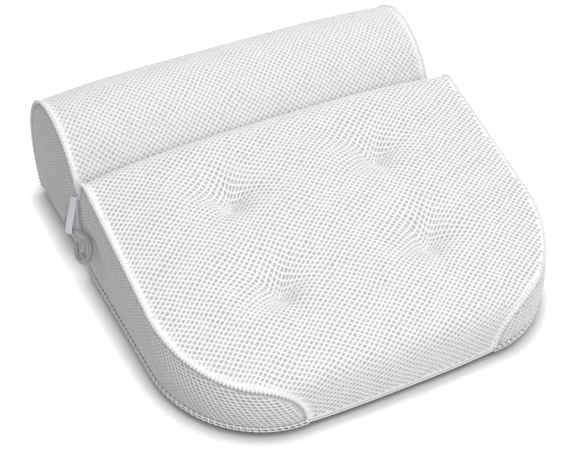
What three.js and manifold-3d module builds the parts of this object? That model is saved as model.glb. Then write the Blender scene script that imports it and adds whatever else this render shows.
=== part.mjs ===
import * as THREE from 'three';
import { mergeVertices } from 'three/addons/utils/BufferGeometryUtils.js';
import Module from 'manifold-3d';

// Bath pillow: a wedge-shaped shoulder pad and a neck roll, joined by a cloth fold.
// X runs across the pillow, +Y towards the neck roll, +Z up. Millimetres.
// Z 0 is the plane of the suction cups' rims.

const wasm = await Module();
wasm.setup();

// Pad
const padWidth = 320;
const padLength = 225;
const padRearHeight = 95;
const padNoseHeight = 39;
const cornerLength = 92;
const noseHalfGap = 79;
const noseRound = 36;
const rearSideRound = 11;
const rearMiddleRound = 16;
const frontRound = 20;
const frontBulge = 2.3;
const sideNotch = 6;
const padCrown = 12;
const padCrownAtEnds = 7;
const crownPower = 3;
const gussetBulge = 3;

// Tufts sewn through the pad
const tuftSideInset = 97;
const rearTuftSetback = 65;
const frontTuftSetback = 148;
const tuftDepth = 16;
const tuftReach = 21;

// Neck roll
const rollShortfall = 4;
const rollDepth = 126;
const rollHeight = 115;
const rollWaist = 38;
const rollFootTuck = 12;
const rollEndDraw = 3.5;
const rollEndBulge = 5;

// Cloth, seams and clearances
const coverThickness = 4;
const gussetThickness = 3;
const baseCloth = 2;
const weltRadius = 2.2;
const seamGap = 0.9;
const coreGap = 1.8;
const gap = 0.3;
const foldGap = 0.4;
const webHalfWidth = 3.7;

// Suction cups and their eyelets
const cupRadius = 22;
const cupHeight = 4.5;
const cupWall = 1.8;
const cupLip = 2;
const neckRadius = 4;
const headRadius = 6.5;
const headThickness = 2.5;
const eyeletWall = 1.2;
const eyeletFlange = 9;
const eyeletThickness = 0.8;
const padCupSideInset = 65;
const frontCupSetback = 70;
const rearCupSetback = 170;
const rollCupSideInset = 73;

// Tuft ties
const tieRadius = 1;
const knotRadius = 2.6;
const knotThickness = 1.2;

// Hang loop and hook
const ribbonWidth = 8;
const ribbonThickness = 0.8;
const ribbonLength = 26;
const ribbonLean = 29;
const ribbonTilt = 25;
const loopHeight = 72;
const hookRod = 3.8;
const hookTurn = 80;
const hookArm = 17.8;
const hookBowlReach = 13;
const hookBowlDepth = 10;
const hookDrop = 10.8;

// Places that follow from the sizes above
const frontY = -(padLength + rollDepth) / 2;
const foldY = frontY + padLength;
const rollMiddleY = foldY + rollDepth / 2;
const rollLength = padWidth - rollShortfall;
const baseZ = cupHeight + 2 * gap + eyeletThickness;
const footZ = baseZ + baseCloth + gap;
const seamZ = baseZ + baseCloth / 2;
const coreInset = coverThickness + coreGap;
const seamTrim = weltRadius + seamGap;
const rearSideY = foldY - sideNotch;
const rearMiddleY = foldY - foldGap;
const sideShoulderY = rearSideY - rearSideRound;
const middleShoulderY = rearMiddleY - rearMiddleRound;
const frontMiddleY = frontY - frontBulge;
const frontShoulderY = frontMiddleY + frontRound;
const cornerStartY = frontY + cornerLength;
const cornerWidth = padWidth / 2 - noseHalfGap;
const tuftX = padWidth / 2 - tuftSideInset;
const tuftYs = [foldY - rearTuftSetback, foldY - frontTuftSetback];

const { lerp, degToRad } = THREE.MathUtils;
const vec = (x, y, z) => new THREE.Vector3(x, y, z);
const quarterTurn = Math.PI / 2;
const eyeletSides = 12;
const cupSides = 16;
const tieSides = 8;
const weldDistance = 1e-3;

// Height of the side seam above the cups' rims, falling from the rear to the nose
function seamHeight(y) {
  const share = (sideShoulderY - y) / (sideShoulderY - frontY);
  return baseZ + lerp(padRearHeight, padNoseHeight, share);
}

// How far the four tufts pull the top cover down at a point
function tuftPull(x, y) {
  let pull = 0;
  for (const tuftY of tuftYs) {
    const reach = Math.hypot(Math.abs(x) - tuftX, y - tuftY) / tuftReach;
    pull += tuftDepth * (0.7 * Math.exp(-2.2 * reach * reach) + 0.3 * Math.exp(-0.5 * reach * reach));
  }
  return pull;
}

// A straight rise and then a quarter round, as stages 0 to 1 of a profile
function riseAndRound(stage, face, foot, top, radius, inset) {
  const straight = 0.55;
  if (stage < straight) {
    return [face - inset, lerp(foot, top - radius, stage / straight)];
  }
  const angle = ((stage - straight) / (1 - straight)) * quarterTurn;
  const reach = radius - inset;
  return [face - radius + reach * Math.cos(angle), top - radius + reach * Math.sin(angle)];
}

// Plan position of the side seam: straight, round the front corner, and from share 1 on round the nose
function seamPlan(share, inset) {
  const straight = (sideShoulderY - cornerStartY) / (sideShoulderY - frontY);
  if (share < straight) {
    return [padWidth / 2 - inset, lerp(sideShoulderY, frontY, share)];
  }
  const noseAngle = Math.acos(noseRound / cornerWidth);
  const noseReach = noseRound * (1 - Math.sin((share - 1) * quarterTurn));
  const angle = share < 1
    ? (noseAngle * (share - straight)) / (1 - straight)
    : Math.acos(noseReach / cornerWidth);
  const x = noseHalfGap + (cornerWidth - inset) * Math.cos(angle);
  return [x, cornerStartY - (cornerLength - inset) * Math.sin(angle)];
}

// One row across the pad's skin: its seam end (right side) and its middle.
// Stage 0 to 1 climbs the rear face, 1 to 2 runs along the top, 2 to 3 goes down the front.
function padRow(stage, inset) {
  const edge = vec();
  const middle = vec();
  if (stage <= 1) {
    const middleTop = seamHeight(middleShoulderY) + padCrownAtEnds;
    const side = riseAndRound(stage, rearSideY, footZ, seamHeight(sideShoulderY), rearSideRound, inset);
    const centre = riseAndRound(stage, rearMiddleY, footZ, middleTop, rearMiddleRound, inset);
    edge.set(padWidth / 2 - inset, side[0], side[1]);
    middle.set(0, centre[0], centre[1]);
    return { edge, middle };
  }
  const [x, y] = seamPlan(stage - 1, inset);
  const seamTop = seamHeight(y) - inset;
  if (stage <= 2) {
    const share = stage - 1;
    const middleY = lerp(middleShoulderY, frontShoulderY, share);
    const crown = padCrownAtEnds + (padCrown - padCrownAtEnds) * Math.sin(share * Math.PI);
    edge.set(x, y, seamTop);
    middle.set(0, middleY, seamHeight(middleY) + crown - inset);
  } else {
    const share = 3 - stage;
    const middleTop = seamHeight(frontShoulderY) + padCrownAtEnds;
    const centre = riseAndRound(share, -frontMiddleY, footZ, middleTop, frontRound, inset);
    edge.set(x, y, lerp(footZ, seamTop, Math.sin(share * quarterTurn)));
    middle.set(0, -centre[0], centre[1]);
  }
  return { edge, middle };
}

// The row of base cloth that lies under the skin's row at the same stage
function padBaseRow(stage, inset) {
  if (stage <= 1) {
    const edge = vec(padWidth / 2 - inset, lerp(rearSideY - inset, sideShoulderY, stage), seamZ);
    return { edge, middle: vec(0, lerp(rearMiddleY - inset, middleShoulderY, stage), seamZ) };
  }
  const [x, y] = seamPlan(stage - 1, inset);
  const middleY = stage <= 2
    ? lerp(middleShoulderY, frontShoulderY, stage - 1)
    : lerp(frontShoulderY, frontMiddleY + inset, stage - 2);
  return { edge: vec(x, y, seamZ), middle: vec(0, middleY, seamZ) };
}

// A point moved from the seam into a panel, square to the seam
function trimmed(rowAt, stage, from, towards, distance) {
  const step = 0.01;
  const here = rowAt(stage)[from].clone();
  const along = rowAt(Math.min(3, stage + step))[from].clone();
  along.sub(rowAt(Math.max(0, stage - step))[from]).normalize();
  const inward = towards.clone().sub(here);
  inward.addScaledVector(along, -inward.dot(along)).normalize();
  return here.addScaledVector(inward, distance);
}

// A point of a row, crowned between its ends
function acrossRow(row, x) {
  const side = Math.abs(x / row.edge.x) ** crownPower;
  return vec(x, lerp(row.middle.y, row.edge.y, side), lerp(row.middle.z, row.edge.z, side));
}

// Stations between keys, filled in so that no step is longer than asked
function stations(keys, step) {
  const sorted = [...keys].sort((a, b) => a - b);
  const list = [sorted[0]];
  for (let k = 1; k < sorted.length; k += 1) {
    const parts = Math.max(1, Math.ceil((sorted[k] - sorted[k - 1]) / step - 0.05));
    for (let i = 1; i <= parts; i += 1) {
      list.push(lerp(sorted[k - 1], sorted[k], i / parts));
    }
  }
  return list;
}

// A closed body between two grids of points with the same rows and columns
function slab(outer, inner) {
  const rows = outer.length;
  const columns = outer[0].length;
  const points = [...outer.flat(), ...inner.flat()];
  const far = rows * columns;
  const at = (i, j) => i * columns + j;
  const index = [];
  const quad = (a, b, c, d) => index.push(a, b, c, a, c, d);
  for (let i = 0; i < rows - 1; i += 1) {
    for (let j = 0; j < columns - 1; j += 1) {
      quad(at(i, j), at(i + 1, j), at(i + 1, j + 1), at(i, j + 1));
      quad(far + at(i, j), far + at(i, j + 1), far + at(i + 1, j + 1), far + at(i + 1, j));
    }
    quad(at(i, 0), far + at(i, 0), far + at(i + 1, 0), at(i + 1, 0));
    quad(at(i + 1, columns - 1), far + at(i + 1, columns - 1), far + at(i, columns - 1), at(i, columns - 1));
  }
  for (let j = 0; j < columns - 1; j += 1) {
    quad(at(0, j + 1), far + at(0, j + 1), far + at(0, j), at(0, j));
    quad(at(rows - 1, j), far + at(rows - 1, j), far + at(rows - 1, j + 1), at(rows - 1, j + 1));
  }
  return outward(new THREE.BufferGeometry().setFromPoints(points).setIndex(index));
}

// The geometry with its faces turned outwards
function outward(geometry) {
  const p = geometry.getAttribute('position');
  const index = geometry.getIndex().array;
  const a = vec();
  const b = vec();
  const c = vec();
  let volume = 0;
  for (let i = 0; i < index.length; i += 3) {
    a.fromBufferAttribute(p, index[i]);
    b.fromBufferAttribute(p, index[i + 1]);
    c.fromBufferAttribute(p, index[i + 2]);
    volume += a.dot(b.cross(c));
  }
  if (volume < 0) {
    for (let i = 0; i < index.length; i += 3) {
      [index[i], index[i + 1]] = [index[i + 1], index[i]];
    }
  }
  return geometry;
}

// Welded copy of a geometry with positions only, without triangles that closed up
function welded(geometry) {
  const bare = geometry.clone();
  bare.deleteAttribute('normal');
  bare.deleteAttribute('uv');
  const merged = mergeVertices(bare, weldDistance);
  const old = merged.getIndex().array;
  const kept = [];
  for (let i = 0; i < old.length; i += 3) {
    const [a, b, c] = [old[i], old[i + 1], old[i + 2]];
    if (a !== b && b !== c && c !== a) {
      kept.push(a, b, c);
    }
  }
  return merged.setIndex(kept);
}

function toSolid(geometry) {
  const bare = welded(geometry);
  return new wasm.Manifold(new wasm.Mesh({
    numProp: 3,
    vertProperties: new Float32Array(bare.getAttribute('position').array),
    triVerts: new Uint32Array(bare.getIndex().array),
  }));
}

function fromSolid(solid) {
  const mesh = solid.getMesh();
  const geometry = new THREE.BufferGeometry();
  geometry.setAttribute('position', new THREE.BufferAttribute(mesh.vertProperties, 3));
  geometry.setIndex(new THREE.BufferAttribute(mesh.triVerts, 1));
  return geometry;
}

function cutAway(geometry, tools) {
  let solid = toSolid(geometry);
  for (const tool of tools) {
    solid = solid.subtract(toSolid(tool));
  }
  return fromSolid(solid);
}

// An upright round cutter
function drill(x, y, radius, low, high, sides) {
  const cutter = new THREE.CylinderGeometry(radius, radius, high - low, sides);
  return cutter.rotateX(quarterTurn).translate(x, y, (low + high) / 2);
}

// A revolved body from a profile of [radius, height] pairs
function revolved(profile, sides) {
  const turned = new THREE.LatheGeometry(profile.map(([r, z]) => new THREE.Vector2(r, z)), sides);
  return outward(welded(turned.rotateX(quarterTurn)));
}

// Materials
const finish = (color, roughness, extra = {}) => new THREE.MeshStandardMaterial({
  color, roughness, metalness: 0, ...extra,
});
const airMesh = () => finish(0xeeeff1, 0.85);
const lining = () => finish(0xe4e5e7, 0.8);
const foam = () => finish(0xe9e6da, 0.95);
const seamTape = () => finish(0xf4f4f5, 0.8);
const clearVinyl = () => finish(0xdfe4e6, 0.15, { transparent: true, opacity: 0.5 });
const whitePlastic = () => finish(0xf0f0ee, 0.45);
const greyPlastic = () => finish(0xb4b5b7, 0.3);
const satin = () => finish(0xe9e8f0, 0.4);

const pillow = new THREE.Group();
const shoulderPad = new THREE.Group();
const neckRoll = new THREE.Group();
pillow.add(shoulderPad, neckRoll);

function place(group, name, geometry, material) {
  const mesh = new THREE.Mesh(welded(geometry), material);
  mesh.name = name;
  group.add(mesh);
  return mesh;
}

const sides = [['left', -1], ['right', 1]];
const padCupX = padWidth / 2 - padCupSideInset;
const rollCupX = rollLength / 2 - rollCupSideInset;
const cupPlaces = sides.flatMap(([word, side]) => [
  ['front_' + word, side * padCupX, frontY + frontCupSetback, shoulderPad],
  ['rear_' + word, side * padCupX, frontY + rearCupSetback, shoulderPad],
  ['roll_' + word, side * rollCupX, rollMiddleY, neckRoll],
]);
const tuftPlaces = tuftYs.flatMap((y, i) => sides.map(([word, side]) => [
  ['rear_', 'front_'][i] + word, side * tuftX, y,
]));

// The stage on the pad's top whose row passes the tufts' column at a setting of Y
function tuftStage(y) {
  let before = 1;
  let after = 2;
  while (after - before > 1e-6) {
    const half = (before + after) / 2;
    [before, after] = acrossRow(padRow(half, 0), tuftX).y > y ? [half, after] : [before, half];
  }
  return before;
}

// Rows and columns shared by the pad's skin and core, finer round the tufts
const tuftStep = tuftReach / 2;
const roundTuft = [-2, -1, 0, 1, 2].map((k) => k * tuftStep);
const cornerStages = [1.56, 1.67, 1.78, 1.89];
const tuftStages = tuftYs.flatMap((y) => roundTuft.map((offset) => tuftStage(y + offset)));
const padStages = stations([0, 0.55, 1, ...cornerStages, 2, 2.45, 3, ...tuftStages], 0.16);
const tuftColumns = sides.flatMap(([, side]) => roundTuft.map((offset) => side * tuftX + offset));
const innerColumns = stations(tuftColumns, 22);
const innerHalf = innerColumns[innerColumns.length - 1];
const outerColumns = 4;

function padColumns(edgeX) {
  const squeeze = Math.min(1, edgeX / (1.5 * innerHalf));
  const inner = innerHalf * squeeze;
  const spread = stations([inner, edgeX], (edgeX - inner) / outerColumns).slice(1);
  return [...spread.map((x) => -x).reverse(), ...innerColumns.map((x) => x * squeeze), ...spread];
}

// Grid of the pad's skin at a depth below its outer face, held back from the side seams
function padSkin(inset, trim) {
  const rowAt = (stage) => padRow(stage, inset);
  return padStages.map((stage) => {
    const { middle } = rowAt(stage);
    const row = { edge: trimmed(rowAt, stage, 'edge', middle, trim), middle };
    const onTop = stage > 1 && stage < 2;
    return padColumns(row.edge.x).map((x) => {
      const point = acrossRow(row, x);
      point.z -= onTop ? tuftPull(point.x, point.y) : 0;
      return point;
    });
  });
}

// Grid of the pad's flat underside at a height, row for row under its skin
function padUnderside(inset, height) {
  return padStages.map((stage) => {
    const row = padBaseRow(stage, inset);
    return padColumns(row.edge.x).map((x) => acrossRow(row, x).setZ(height));
  });
}

// Flat cloth of an outline, with round holes through it
function clothPanel(outline, holes) {
  const shape = new THREE.Shape(outline.map((p) => new THREE.Vector2(p.x, p.y)));
  for (const [x, y, radius, count] of holes) {
    const angles = Array.from({ length: count }, (_, i) => (2 * Math.PI * i) / count);
    shape.holes.push(new THREE.Path(angles.map(
      (angle) => new THREE.Vector2(x + radius * Math.cos(angle), y + radius * Math.sin(angle)))));
  }
  const cloth = new THREE.ExtrudeGeometry(shape, { depth: baseCloth, bevelEnabled: false });
  return outward(welded(cloth.translate(0, 0, baseZ)));
}

const tieHoles = (low, high) => tuftPlaces.map(
  ([, x, y]) => drill(x, y, tieRadius + gap, low, high, tieSides));
const padCups = cupPlaces.filter(([, , , group]) => group === shoulderPad);
const rollCups = cupPlaces.filter(([, , , group]) => group === neckRoll);
const barrelRadius = neckRadius + gap + eyeletWall;
const headTopZ = baseZ + baseCloth + 2 * gap + eyeletThickness + headThickness;
const eyeletHoles = (cups) => cups.map(([, x, y]) => [x, y, barrelRadius + gap, eyeletSides]);
const pocketTopZ = headTopZ + 2 * gap;
const headPockets = (cups) => cups.map(
  ([, x, y]) => drill(x, y, eyeletFlange + gap, 0, pocketTopZ, eyeletSides));
const skyZ = baseZ + padRearHeight + padCrown;

// Pad: top cover, foam core and base panel
place(shoulderPad, 'pad_top_cover', cutAway(
  slab(padSkin(0, seamTrim), padSkin(coverThickness, seamTrim)), tieHoles(footZ, skyZ)), airMesh());
place(shoulderPad, 'pad_foam_core', cutAway(
  slab(padSkin(coreInset, 0), padUnderside(coreInset, footZ)),
  [...tieHoles(0, skyZ), ...headPockets(padCups)]), foam());

const padSideStages = stations([0, 1, ...cornerStages, 2, 3], 0.2).reverse();
const padSideLine = padSideStages.map((stage) => padBaseRow(stage, seamTrim).edge);
const webFrontY = foldY - webHalfWidth;
const padRearRow = padBaseRow(0, 0);
const padRearLine = stations([-0.9, 0.9], 0.2).map((share) => {
  const point = acrossRow(padRearRow, -share * padRearRow.edge.x);
  return point.setY(Math.min(point.y, webFrontY - gap));
});
const mirrored = (points) => points.map((point) => vec(-point.x, point.y, point.z)).reverse();
place(shoulderPad, 'pad_base_panel', clothPanel(
  [...padSideLine, ...padRearLine, ...mirrored(padSideLine)],
  [...tuftPlaces.map(([, x, y]) => [x, y, tieRadius + gap, tieSides]), ...eyeletHoles(padCups)]), lining());

// Side gussets between the base cloth and the top cover, and the welted seam round each
const gussetStages = stations([0.27, 0.55, 1, ...cornerStages, 2, 2.45, 2.72], 0.17);
const gussetShares = stations([0, 1], 0.25);

function gussetGrid(side, inset, bulge) {
  const skinRow = (stage) => padRow(stage, inset);
  const baseRow = (stage) => padBaseRow(stage, inset);
  return gussetStages.map((stage) => {
    const seam = skinRow(stage).edge;
    const foot = baseRow(stage).edge;
    const high = trimmed(skinRow, stage, 'edge', foot, seamTrim);
    const low = trimmed(baseRow, stage, 'edge', seam, seamTrim);
    const out = vec(seam.x - noseHalfGap, Math.min(0, seam.y - cornerStartY), 0).normalize();
    const swell = bulge * Math.min(1, (high.z - low.z) / padNoseHeight);
    return gussetShares.map((share) => {
      const point = low.clone().lerp(high, share);
      point.addScaledVector(out, swell * Math.sin(share * Math.PI));
      return point.setX(point.x * side);
    });
  });
}

const loopCurve = (points) => new THREE.CatmullRomCurve3(points, true, 'centripetal');
const weltSides = 5;

function padWeltPath(side) {
  const topStages = stations([0.12, 0.55, 1, ...cornerStages, 2, 2.45, 2.9], 0.17);
  const footStages = stations([0.15, 1, ...cornerStages, 2, 2.85], 0.2).reverse();
  const foot = (stage) => padBaseRow(stage, 0).edge;
  const top = (stage) => padRow(stage, 0).edge;
  const route = [foot(0), ...topStages.map(top), foot(3), ...footStages.map(foot)];
  for (const point of route) {
    point.x *= side;
  }
  return loopCurve(route);
}

for (const [word, side] of sides) {
  place(shoulderPad, 'pad_gusset_' + word, slab(
    gussetGrid(side, 0, gussetBulge), gussetGrid(side, gussetThickness, gussetBulge)), airMesh());
  place(shoulderPad, 'pad_welt_' + word, outward(welded(
    new THREE.TubeGeometry(padWeltPath(side), 64, weltRadius, weltSides, true))), seamTape());
}

// Tuft ties: a thread through the pad with a knot at each end
const padSlope = (padRearHeight - padNoseHeight) / (sideShoulderY - frontY);
const tuftSlope = (tuftPull(tuftX, tuftYs[0]) - tuftPull(tuftX + tuftStep, tuftYs[0])) / tuftStep;
for (const [word, x, y] of tuftPlaces) {
  const top = acrossRow(padRow(tuftStage(y), 0), x).z - tuftPull(x, y);
  const high = top + knotRadius * (tuftSlope + padSlope) + gap;
  const low = baseZ - gap;
  place(shoulderPad, 'tuft_tie_' + word, revolved([
    [0, low - knotThickness], [knotRadius, low - knotThickness], [knotRadius, low], [tieRadius, low],
    [tieRadius, high], [knotRadius, high], [knotRadius * 0.6, high + knotThickness], [0, high + knotThickness],
  ], tieSides).translate(x, y, 0), seamTape());
}

// Neck roll: a section that stands on a tucked foot, drawn in towards its ends.
// Stage 0 to 1 is the front below the waist, 1 to 2 goes over the top, 2 to 3 is the rear below the waist.
const rollWaistZ = baseZ + rollWaist;
const rollHalf = rollLength / 2;

function rollPoint(u, stage, inset) {
  const draw = rollEndDraw * Math.abs(u) ** 4;
  const reach = rollDepth / 2 - foldGap - draw - inset;
  const foot = rollDepth / 2 - foldGap - draw - rollFootTuck;
  const lowSide = (share) => {
    const angle = share * quarterTurn;
    const y = foot + (rollFootTuck - inset) * Math.cos(angle);
    return [y, rollWaistZ - (rollWaistZ - footZ - inset) * Math.sin(angle)];
  };
  if (stage <= 1) {
    const [y, z] = lowSide(1 - stage);
    return vec(u * rollHalf, rollMiddleY - y, z);
  }
  if (stage <= 2) {
    const angle = (stage - 1) * Math.PI;
    const top = rollHeight - rollWaist - draw - inset;
    const y = rollMiddleY - reach * Math.cos(angle);
    return vec(u * rollHalf, y, rollWaistZ + top * Math.sin(angle));
  }
  const [y, z] = lowSide(stage - 2);
  return vec(u * rollHalf, rollMiddleY + y, z);
}

const rollFoot = rollDepth / 2 - foldGap - rollFootTuck;
const rollStages = stations([0, 1, 2, 3], 0.17);
const rollShares = (trim) => stations([-1, -0.9, 0, 0.9, 1], 0.23).map((u) => u * (1 - trim / rollHalf));
const rollSkin = (inset, trim) => rollStages.map(
  (stage) => rollShares(trim).map((u) => rollPoint(u, stage, inset)));

// Grid of the roll core's flat underside, row for row under its skin
function rollUnderside(trim, reach) {
  return rollStages.map((stage) => rollShares(trim).map((u) => {
    const foot = reach - rollEndDraw * Math.abs(u) ** 4;
    return vec(u * rollHalf, rollMiddleY + lerp(-foot, foot, stage / 3), footZ);
  }));
}

const endTrim = gussetThickness + gap;
place(neckRoll, 'roll_top_cover', slab(rollSkin(0, endTrim), rollSkin(coverThickness, endTrim)), airMesh());
place(neckRoll, 'roll_fibre_core', cutAway(
  slab(rollSkin(coreInset, coreInset), rollUnderside(coreInset, rollFoot - seamGap)),
  headPockets(rollCups)), foam());

const rollFlapY = foldY + webHalfWidth + gap;
const rollHemY = rollMiddleY + rollFoot;
const rollPanelHalf = rollHalf - seamTrim;
place(neckRoll, 'roll_base_panel', clothPanel([
  vec(-rollPanelHalf, rollFlapY, 0), vec(rollPanelHalf, rollFlapY, 0),
  vec(rollPanelHalf, rollHemY, 0), vec(-rollPanelHalf, rollHemY, 0),
], eyeletHoles(rollCups)), lining());

// Roll ends: a bulged panel in each end, with a welted seam round it
const endStages = stations([0.32, 1, 1.44], 0.16);
const endShares = stations([-1, 1], 0.25);

function rollEnd(side, depth) {
  return endStages.map((stage) => {
    const front = rollPoint(1, stage, seamTrim);
    const rear = rollPoint(1, 3 - stage, seamTrim);
    return endShares.map((share) => {
      const swell = rollEndBulge * (1 - share * share) * Math.sin((stage / 1.5) * quarterTurn * 1.6);
      const y = lerp(front.y, rear.y, (share + 1) / 2);
      return vec(side * (rollHalf + swell - depth), y, front.z);
    });
  });
}

for (const [word, side] of sides) {
  place(neckRoll, 'roll_end_' + word, slab(rollEnd(side, 0), rollEnd(side, gussetThickness)), airMesh());
  const ring = stations([0, 1, 2, 3], 0.14).map((stage) => rollPoint(side, stage, 0));
  const ringPath = loopCurve(ring.map((p) => p.setZ(Math.max(p.z, footZ + weltRadius))));
  place(neckRoll, 'roll_welt_' + word, outward(welded(
    new THREE.TubeGeometry(ringPath, 48, weltRadius, weltSides, true))), seamTape());
}

// Fold: the strip of base cloth that bends between the pad and the roll
const webReach = rollHalf - seamTrim;
place(shoulderPad, 'fold_web', new THREE.BoxGeometry(2 * webReach, 2 * webHalfWidth, baseCloth).translate(
  0, foldY, baseZ + baseCloth / 2), lining());

// Suction cups, each turning in an eyelet clamped in the base cloth
const lowerFlangeZ = baseZ - gap - eyeletThickness;
const upperFlangeZ = baseZ + baseCloth + gap;
const boreRadius = neckRadius + gap;
const eyeletProfile = [
  [boreRadius, lowerFlangeZ], [eyeletFlange, lowerFlangeZ], [eyeletFlange, lowerFlangeZ + eyeletThickness],
  [barrelRadius, lowerFlangeZ + eyeletThickness], [barrelRadius, upperFlangeZ], [eyeletFlange, upperFlangeZ],
  [eyeletFlange, upperFlangeZ + eyeletThickness], [boreRadius, upperFlangeZ + eyeletThickness],
  [boreRadius, lowerFlangeZ],
];
const headZ = headTopZ - headThickness + gap;
const cupProfile = [
  [0, headZ + headThickness], [headRadius - 1, headZ + headThickness], [headRadius, headZ + headThickness - 1],
  [headRadius, headZ], [neckRadius, headZ], [neckRadius, cupHeight], [neckRadius + cupWall, cupHeight],
  [cupRadius * 0.62, cupHeight * 0.8], [cupRadius * 0.86, cupHeight * 0.45], [cupRadius, cupLip * 0.3],
  [cupRadius, 0], [cupRadius - cupLip, 0], [cupRadius * 0.76, cupHeight * 0.45 - cupWall * 0.4],
  [cupRadius * 0.5, cupHeight * 0.8 - cupWall * 0.8], [0, cupHeight - cupWall],
];
for (const [word, x, y, group] of cupPlaces) {
  place(group, 'eyelet_' + word, revolved(eyeletProfile, eyeletSides).translate(x, y, 0), whitePlastic());
  place(group, 'suction_cup_' + word, revolved(cupProfile, cupSides).translate(x, y, 0), clearVinyl());
}

// Hang loop: a folded ribbon sewn into the roll's left end seam, with a hook swinging in it
const turn = degToRad(hookTurn);
const lean = degToRad(ribbonLean);
const tilt = degToRad(ribbonTilt);
const level = vec(Math.cos(turn), -Math.sin(turn), 0);
const plumb = vec(-Math.sin(turn) * Math.sin(lean), -Math.cos(turn) * Math.sin(lean), -Math.cos(lean));
const ribbonAcross = level.clone().multiplyScalar(Math.cos(tilt)).addScaledVector(plumb, -Math.sin(tilt));
const ribbonDown = plumb.clone().multiplyScalar(Math.cos(tilt)).addScaledVector(level, Math.sin(tilt));
const ribbonFace = ribbonDown.clone().cross(ribbonAcross);
const loopInside = hookRod / 2 + gap;
const loopStage = 1 + Math.asin((loopHeight - rollWaistZ) / (rollHeight - rollWaist - rollEndDraw)) / Math.PI;
const sewn = rollPoint(-1, loopStage, 0);
sewn.x -= weltRadius + gap + ribbonThickness;
const hookSeat = sewn.clone().addScaledVector(ribbonDown, ribbonLength);

// A teardrop outline from its point along one side, round the open end and back
function teardrop(path, point, pointHalf, openHalf) {
  const bend = lerp(point, ribbonLength, 0.5);
  path.moveTo(point, -pointHalf);
  path.bezierCurveTo(bend, -pointHalf, bend, -openHalf, ribbonLength, -openHalf);
  path.absarc(ribbonLength, 0, openHalf, -quarterTurn, quarterTurn, false);
  path.bezierCurveTo(bend, openHalf, bend, pointHalf, point, pointHalf);
  return path;
}

// The ribbon's two layers lie flat at the seam and part round the hook
const ribbonShape = teardrop(new THREE.Shape(), 0, ribbonThickness, loopInside + ribbonThickness);
const loopStart = ribbonLength * 0.35;
ribbonShape.holes.push(teardrop(new THREE.Path(), loopStart, gap / 2, loopInside));
const ribbon = new THREE.ExtrudeGeometry(ribbonShape, {
  depth: ribbonWidth, bevelEnabled: false, curveSegments: 5,
});
ribbon.translate(0, 0, -ribbonWidth / 2);
ribbon.applyMatrix4(new THREE.Matrix4().makeBasis(ribbonDown, ribbonFace, ribbonAcross).setPosition(sewn));
place(neckRoll, 'hang_loop', outward(welded(ribbon)), satin());

// Hook: a small curl through the ribbon, an arm, and an open bowl
const grip = ribbonWidth / 2 + gap;
const gripPoint = (along, up = 0) => hookSeat.clone()
  .addScaledVector(ribbonAcross, along).addScaledVector(ribbonDown, -up);
const armWay = level.clone().multiplyScalar(Math.cos(tilt)).setZ(Math.sin(tilt));
const armPoint = (along, fall) => gripPoint(grip)
  .addScaledVector(armWay, along).addScaledVector(ribbonDown, fall);
const hookRoute = [
  gripPoint(-grip - 2.4, 8.5), gripPoint(-grip - 3, 5), gripPoint(-grip - 2.4, 1.6), gripPoint(-grip),
  hookSeat, gripPoint(grip), armPoint(hookArm / 2, 0.2),
];
for (let part = 0; part <= 10; part++) {
  const angle = degToRad(90 - 27.5 * part);
  const along = hookArm + hookBowlReach * Math.cos(angle);
  hookRoute.push(armPoint(along, hookDrop - hookBowlDepth * Math.sin(angle)));
}
const rodSection = new THREE.Shape().absarc(0, 0, hookRod / 2, 0, 2 * Math.PI, false);
place(neckRoll, 'hang_hook', outward(welded(new THREE.ExtrudeGeometry(rodSection, {
  steps: 42, curveSegments: 4, extrudePath: new THREE.CatmullRomCurve3(hookRoute, false, 'centripetal'),
}))), greyPlastic());

export default pillow;
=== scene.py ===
import math

import bmesh
import bpy
import numpy as np
from mathutils import Matrix, Vector
from mathutils.kdtree import KDTree


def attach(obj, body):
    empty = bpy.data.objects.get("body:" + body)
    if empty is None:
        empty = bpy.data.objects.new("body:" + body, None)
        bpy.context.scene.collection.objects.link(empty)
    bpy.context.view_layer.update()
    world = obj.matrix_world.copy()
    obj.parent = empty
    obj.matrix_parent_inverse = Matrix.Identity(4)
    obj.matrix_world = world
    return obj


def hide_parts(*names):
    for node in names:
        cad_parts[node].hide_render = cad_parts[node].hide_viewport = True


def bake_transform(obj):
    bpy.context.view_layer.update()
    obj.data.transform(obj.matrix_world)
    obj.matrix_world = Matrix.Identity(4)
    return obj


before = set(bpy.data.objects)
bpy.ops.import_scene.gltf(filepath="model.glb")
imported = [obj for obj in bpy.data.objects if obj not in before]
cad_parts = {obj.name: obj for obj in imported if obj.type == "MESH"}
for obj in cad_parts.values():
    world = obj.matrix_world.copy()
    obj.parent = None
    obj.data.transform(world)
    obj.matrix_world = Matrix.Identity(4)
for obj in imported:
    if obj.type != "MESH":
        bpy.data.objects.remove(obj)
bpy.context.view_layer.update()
scene = bpy.context.scene
scene.view_settings.view_transform = "Standard"
sides = (("left", -1), ("right", 1))
print("frame loaded")


def meshFrom(bm, name):
    mesh = bpy.data.meshes.new(name)
    bm.to_mesh(mesh)
    bm.free()
    return mesh


def newObject(name, mesh, material):
    mesh.materials.append(material)
    piece = bpy.data.objects.new(name, mesh)
    scene.collection.objects.link(piece)
    return piece


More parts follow.
